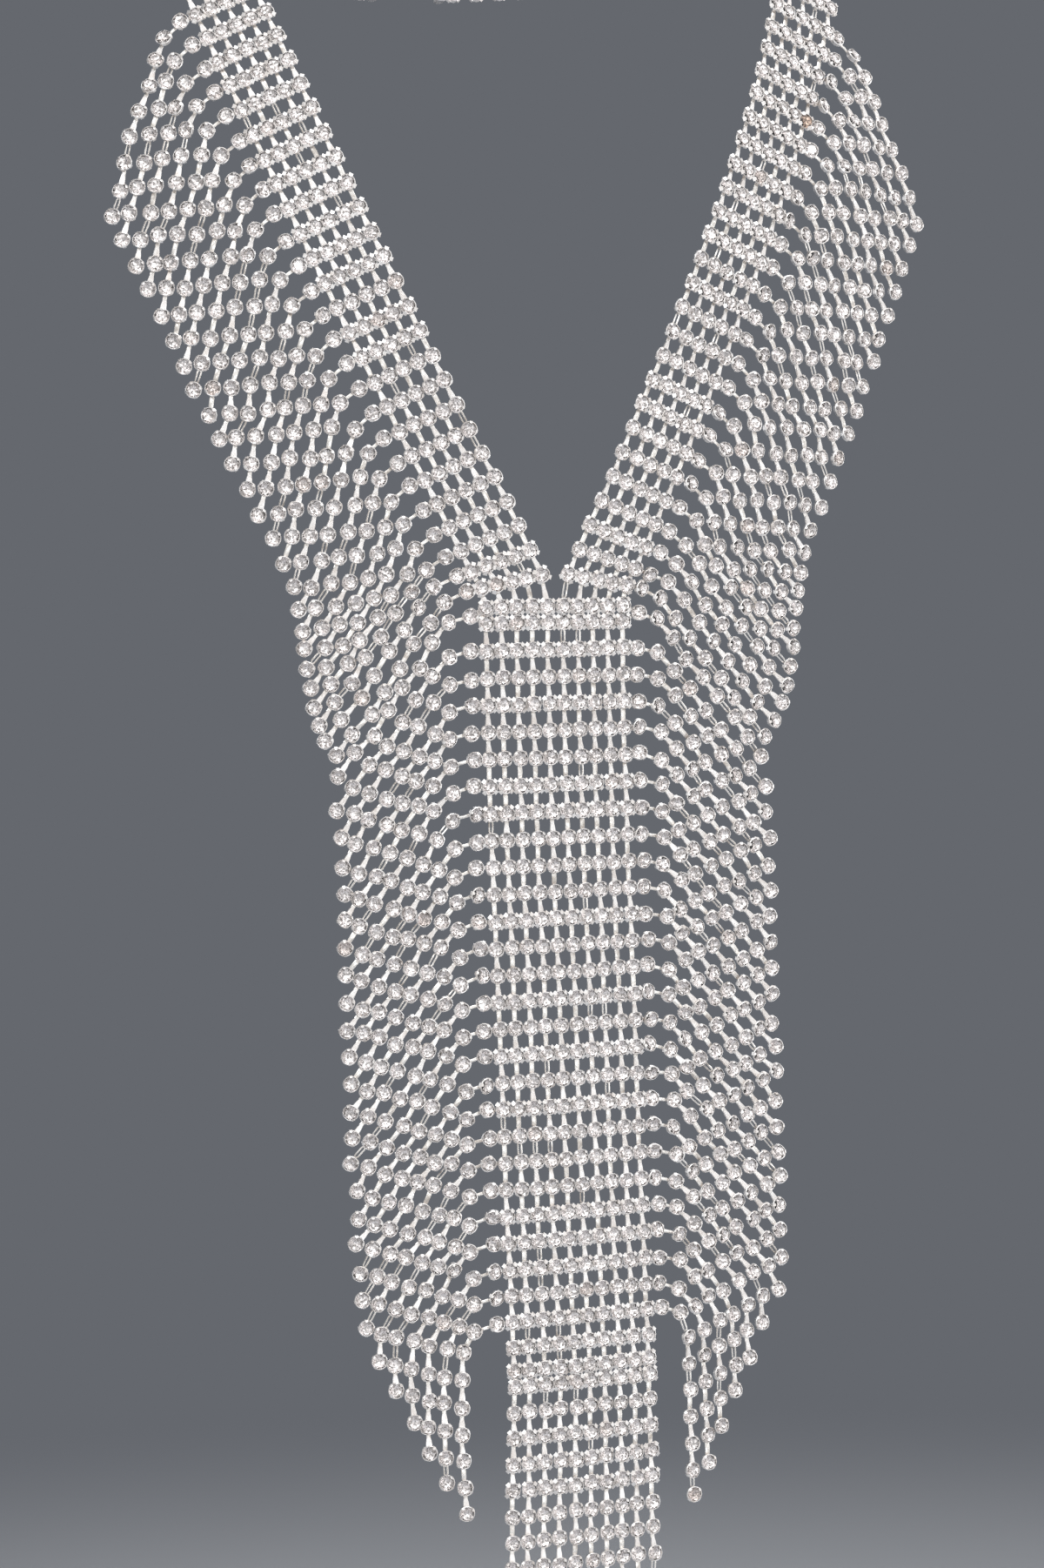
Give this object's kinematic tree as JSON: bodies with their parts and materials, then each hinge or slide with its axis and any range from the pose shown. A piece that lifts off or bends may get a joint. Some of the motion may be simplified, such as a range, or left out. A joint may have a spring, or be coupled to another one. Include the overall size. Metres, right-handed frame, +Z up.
{
  "type": "rhinestone V collar necklace with fringe and tail",
  "caption": "Long V-shaped rhinestone cup-chain collar necklace with a ten-chain centre panel, hanging fringe down both sides and a tail of ten chains.",
  "frame": {"origin": "the point at the nape where the loop rests on the back of the neck", "axes": "+Z up; the wearer faces -Y; +X is to the right as seen from in front"},
  "size_m": [0.2299, 0.1392, 0.4688],
  "materials": {
    "silver_plate": "bright silver plating over brass",
    "crystal": "clear faceted glass with a silvered foil back"
  },
  "bodies": {
    "root": {"v_band_right_lower": "silver_plate", "v_band_right_middle": "silver_plate", "v_band_right_upper": "silver_plate", "neck_band_right_front": "silver_plate", "neck_band_right_back": "silver_plate", "end_bar_right": "silver_plate", "v_band_left_lower": "silver_plate", "v_band_left_middle": "silver_plate", "v_band_left_upper": "silver_plate", "neck_band_left_front": "silver_plate", "neck_band_left_back": "silver_plate", "end_bar_left": "silver_plate", "clasp": "silver_plate", "centre_panel_top": "silver_plate", "centre_panel_middle": "silver_plate", "centre_panel_bottom": "silver_plate", "tail_tassel": "silver_plate", "fringe_left_01": "silver_plate", "fringe_left_02": "silver_plate", "fringe_left_03": "silver_plate", "fringe_left_04": "silver_plate", "fringe_left_05": "silver_plate", "fringe_left_06": "silver_plate", "fringe_left_07": "silver_plate", "fringe_left_08": "silver_plate", "fringe_left_09": "silver_plate", "fringe_left_10": "silver_plate", "fringe_right_01": "silver_plate", "fringe_right_02": "silver_plate", "fringe_right_03": "silver_plate", "fringe_right_04": "silver_plate", "fringe_right_05": "silver_plate", "fringe_right_06": "silver_plate", "fringe_right_07": "silver_plate", "fringe_right_08": "silver_plate", "fringe_right_09": "silver_plate", "fringe_right_10": "silver_plate"}
  },
  "joints": []
}
